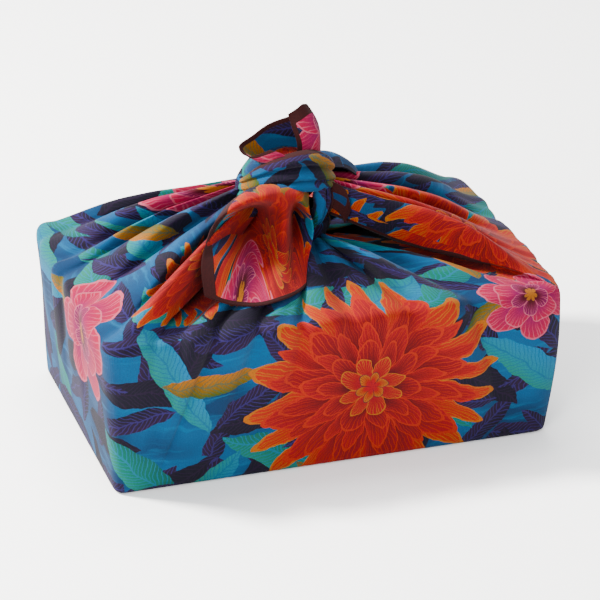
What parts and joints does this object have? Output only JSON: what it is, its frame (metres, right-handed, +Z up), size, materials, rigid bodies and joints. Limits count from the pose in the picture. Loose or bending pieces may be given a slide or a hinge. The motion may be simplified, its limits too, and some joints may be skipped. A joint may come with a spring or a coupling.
{
  "type": "furoshiki wrap around a box",
  "caption": "Square printed cloth tied as a furoshiki round a plain box, with crossed knots on top, draped folds and free cloth ends.",
  "frame": {"origin": "centre of the flat underside of the wrapped box", "axes": "+X along the length of the box to the right seen from the front, -Y towards the front where the large free end hangs, +Z up through the knots"},
  "size_m": [0.2773, 0.1753, 0.1942],
  "materials": {
    "cloth": "matt woven cotton, printed",
    "box": "plain dark board"
  },
  "bodies": {
    "root": {"furoshiki": "cloth", "box": "box"}
  },
  "joints": []
}
